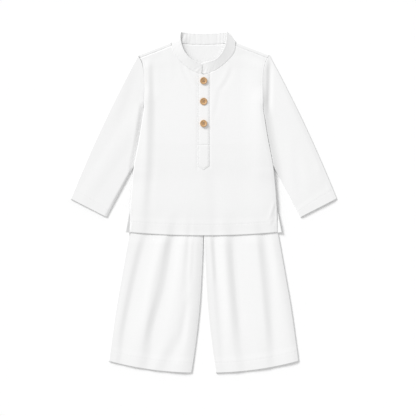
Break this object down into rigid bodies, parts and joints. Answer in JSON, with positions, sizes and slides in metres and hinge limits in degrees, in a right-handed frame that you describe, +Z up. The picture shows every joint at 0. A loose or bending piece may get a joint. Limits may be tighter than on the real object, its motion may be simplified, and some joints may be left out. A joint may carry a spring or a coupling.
{
  "type": "top and trousers set, laid flat",
  "caption": "Child's white cotton set laid flat: long-sleeved top with band collar and buttoned placket over wide cropped trousers.",
  "frame": {"origin": "on the surface that the set lies on, in the middle of its footprint", "axes": "+Z up from the surface, +Y from the trouser hems to the collar, +X to the right as seen from above"},
  "size_m": [0.5592, 0.715, 0.0125],
  "materials": {
    "white_cotton": "matte plain weave, washed",
    "button_wood": "turned and oiled, satin"
  },
  "bodies": {
    "root": {"trouser_back_left": "white_cotton", "trouser_front_left": "white_cotton", "trouser_back_right": "white_cotton", "trouser_front_right": "white_cotton", "waistband": "white_cotton", "top_back": "white_cotton", "top_front": "white_cotton", "sleeve_left": "white_cotton", "sleeve_right": "white_cotton", "collar": "white_cotton", "placket_under": "white_cotton", "placket_over": "white_cotton", "button_top": "button_wood", "button_middle": "button_wood", "button_bottom": "button_wood"}
  },
  "joints": []
}
